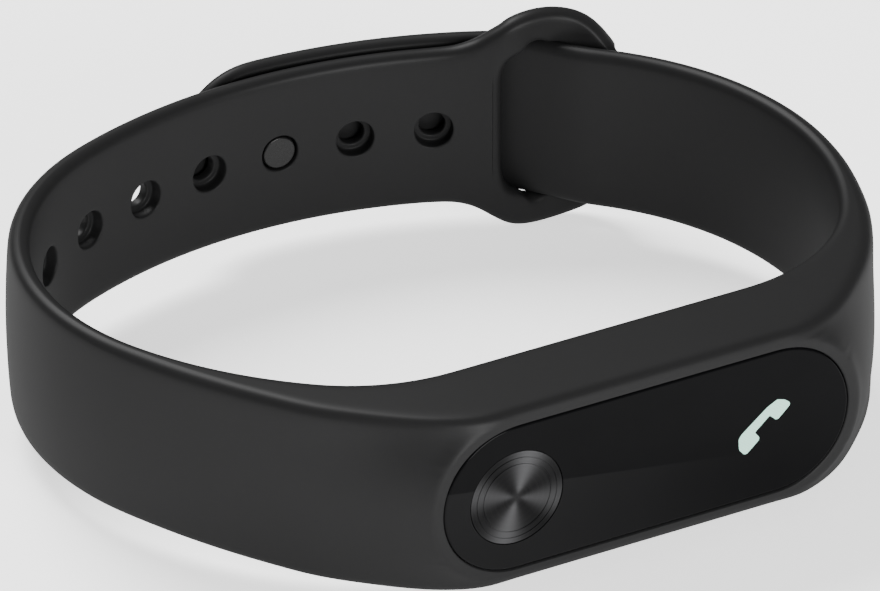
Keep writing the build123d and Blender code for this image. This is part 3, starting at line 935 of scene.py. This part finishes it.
def rounded_outline(corners, steps=4):
    """Outline points with each corner turned into a short curve."""
    points = []
    for k, (x, z, r) in enumerate(corners):
        here = Vector((x, z))
        before = Vector(corners[k - 1][:2]) - here
        after = Vector(corners[(k + 1) % len(corners)][:2]) - here
        reach = min(r, before.length * 0.45, after.length * 0.45)
        a, b = here + before.normalized() * reach, here + after.normalized() * reach
        for n in range(steps + 1):
            t = n / steps
            points.append(a * (1 - t) ** 2 + here * 2 * t * (1 - t) + b * t * t)
    return points


class TRACKER_OT_icon(bpy.types.Operator):
    """Lit handset on the display"""
    bl_idname = "tracker.icon"
    bl_label = "Display icon"

    def execute(self, context):
        settings = context.scene.tracker_capsule
        low, high = [Vector(c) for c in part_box("display_icon")]
        middle = (low + high) / 2 - LENS_MIDDLE
        shift = middle / MM + Vector(ICON_TRIM)
        built = bmesh.new()
        front = [built.verts.new(world(p.x + shift.x, -ICON_PROUD - ICON_T, p.y + shift.z))
                 for p in rounded_outline(handset_outline())]
        back = [built.verts.new(v.co + Vector((0, ICON_T * MM, 0))) for v in front]
        built.faces.new(front)
        built.faces.new(list(reversed(back)))
        for k in range(len(front)):
            n = (k + 1) % len(front)
            built.faces.new((front[k], back[k], back[n], front[n]))
        bmesh.ops.recalc_face_normals(built, faces=built.faces)
        obj = mesh_object("lit_handset", built)
        obj.data.shade_flat()
        lit("lit_dots", tuple(settings.icon_colour), settings.icon_strength).dress(obj)
        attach(obj, "capsule")
        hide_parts("display_icon")
        return {"FINISHED"}


class TRACKER_OT_case(bpy.types.Operator):
    """Capsule shell, sensor window and charging contacts"""
    bl_idname = "tracker.case"
    bl_label = "Capsule case"

    def execute(self, context):
        colour = tuple(context.scene.tracker_capsule.case_colour)
        dress_nodes(moulded("case_shell", colour, 0.45, Specular_IOR_Level=0.15), "upper_case",
                    "lower_case", "light_baffle")
        dress_nodes(moulded("case_gasket", (0.03, 0.03, 0.03), 0.8, 0.1, 0.01), "case_seal", "display_foam")
        dress_nodes(moulded("adhesive_film", (0.05, 0.05, 0.055), 0.6, 0.4, 0.004), "lens_adhesive",
                    "battery_pad")
        dress_nodes(polished_lens("sensor_glass", (0.012, 0.006, 0.008), 0.1), "sensor_window")
        dress_nodes(brushed("gold_plate", (0.83, 0.60, 0.26), 0.3), "charging_contacts", "contact_pins",
                    "touch_electrode")
        return {"FINISHED"}


class TRACKER_OT_electronics(bpy.types.Operator):
    """Boards, chips, battery, display and motor inside the capsule"""
    bl_idname = "tracker.electronics"
    bl_label = "Electronics"

    def execute(self, context):
        dress_nodes(solder_mask("board_mask", (0.02, 0.11, 0.06)), "main_board", "sensor_board")
        dress_nodes(moulded("chip_resin", (0.03, 0.03, 0.033), 0.5, 0.15), "processor_chip", "memory_chip",
                    "motion_sensor", "passive_parts", "photodiode")
        dress_nodes(moulded("flex_film", (0.50, 0.27, 0.07), 0.35, 1.2, 0.003, Coat_Weight=0.3),
                    "display_flex", "board_link")
        dress_nodes(polished_lens("display_glass", (0.012, 0.014, 0.02), 0.12), "display_panel")
        dress_nodes(moulded("clear_resin", (0.62, 0.85, 0.58), 0.2, 0.5, 0.002), "sensor_leds")
        dress_nodes(brushed("cell_foil", (0.62, 0.63, 0.66), 0.38), "battery_cell")
        dress_nodes(brushed("motor_steel", (0.55, 0.56, 0.57), 0.3), "motor_case", "motor_cover",
                    "motor_shaft", "motor_rotor", "battery_tabs", "antenna", "clock_crystal")
        return {"FINISHED"}


# ---------------------------------------------------------------- stage
CAMERA_TURN, CAMERA_RISE = 29.15, 30.55      # degrees left of the lens axis and above the floor
CAMERA_DISTANCE, CAMERA_LENS = 1000.0, 498.95
CAMERA_SHIFT = (-17.06, 13.42)               # the view's centre from the middle of the lens face, in mm


def view_axes():
    """Right, up and forward of the camera."""
    a, e = math.radians(CAMERA_TURN), math.radians(CAMERA_RISE)
    right = Vector((math.cos(a), -math.sin(a), 0))
    forward = Vector((math.sin(a) * math.cos(e), math.cos(a) * math.cos(e), -math.sin(e)))
    return right, right.cross(forward), forward


class TRACKER_OT_stage(bpy.types.Operator):
    """Pale floor, soft studio light and the camera"""
    bl_idname = "tracker.stage"
    bl_label = "Stage"

    def execute(self, context):
        settings = context.scene.tracker_stage
        self.floor(settings)
        self.lights(settings)
        self.camera(context)
        return {"FINISHED"}

    def floor(self, settings):
        """A round sheet of pale card with a glow of its own, like a light table."""
        built = bmesh.new()
        bmesh.ops.create_circle(built, cap_ends=True, segments=96, radius=3.0)
        floor = mesh_object("studio_floor", built)
        colour = tuple(settings.floor_colour)
        finish = Finish("studio_card", colour, 0.9, Specular_IOR_Level=0.1, Emission_Color=(*colour, 1.0),
                        Emission_Strength=settings.floor_glow)
        grain = finish.noise(finish.place(), 2.0, 3.0)
        finish.feed("Base Color", finish.mix(grain, shade(colour, 0.985), shade(colour, 1.0)))
        finish.dress(floor)

    def lights(self, settings):
        room = bpy.data.worlds.new("studio_room")
        room.use_nodes = True
        background = room.node_tree.nodes["Background"]
        background.inputs["Color"].default_value = (1, 1, 1, 1)
        background.inputs["Strength"].default_value = settings.sky
        bpy.context.scene.world = room
        self.soft_light("key_light", (0.02, -0.70, 0.20), 0.4, settings.key_power)
        self.soft_light("top_light", (-0.02, 0.38, 0.46), 0.35, settings.top_power)

    def soft_light(self, name, place, size, power):
        lamp = bpy.data.lights.new(name, "AREA")
        lamp.shape, lamp.size, lamp.energy = "DISK", size, power
        obj = bpy.data.objects.new(name, lamp)
        middle = (Vector(CAD_BOX[0]) + Vector(CAD_BOX[1])) / 2
        obj.location = middle + Vector(place)
        obj.rotation_euler = (middle - obj.location).to_track_quat("-Z", "Y").to_euler()
        bpy.context.scene.collection.objects.link(obj)

    def camera(self, context):
        right, up, forward = view_axes()
        lens = bpy.data.cameras.new("studio_camera")
        lens.lens, lens.sensor_width = CAMERA_LENS, 36.0
        lens.clip_start, lens.clip_end = 0.05, 20.0
        obj = bpy.data.objects.new("studio_camera", lens)
        centre = right * CAMERA_SHIFT[0] + up * CAMERA_SHIFT[1] - forward * CAMERA_DISTANCE
        turn = Matrix((right, up, -forward)).transposed().to_4x4()
        obj.matrix_world = Matrix.Translation(LENS_MIDDLE + centre * MM) @ turn
        context.scene.collection.objects.link(obj)
        context.scene.camera = obj


# ---------------------------------------------------------------- add-on
STEPS = (TRACKER_OT_strap, TRACKER_OT_tongue, TRACKER_OT_stud, TRACKER_OT_front, TRACKER_OT_icon,
         TRACKER_OT_case, TRACKER_OT_electronics, TRACKER_OT_stage)


class TRACKER_PT_panel(bpy.types.Panel):
    """Lists the settings and the steps"""
    bl_label = "Fitness tracker band"
    bl_idname = "TRACKER_PT_panel"
    bl_space_type = "VIEW_3D"
    bl_region_type = "UI"
    bl_category = "Tracker"

    def draw(self, context):
        scene = context.scene
        for group in (scene.tracker_strap, scene.tracker_capsule, scene.tracker_stage):
            box = self.layout.box()
            for name in group.__annotations__:
                box.prop(group, name)
        for step in STEPS:
            self.layout.operator(step.bl_idname)


CLASSES = (StrapSettings, CapsuleSettings, StageSettings, *STEPS, TRACKER_PT_panel)


def register():
    for cls in CLASSES:
        bpy.utils.register_class(cls)
    bpy.types.Scene.tracker_strap = PointerProperty(type=StrapSettings)
    bpy.types.Scene.tracker_capsule = PointerProperty(type=CapsuleSettings)
    bpy.types.Scene.tracker_stage = PointerProperty(type=StageSettings)


def unregister():
    for name in ("tracker_strap", "tracker_capsule", "tracker_stage"):
        delattr(bpy.types.Scene, name)
    for cls in reversed(CLASSES):
        bpy.utils.unregister_class(cls)


def main():
    register()
    for step in STEPS:
        group, name = step.bl_idname.split(".")
        getattr(getattr(bpy.ops, group), name)()


if __name__ == "__main__":
    main()
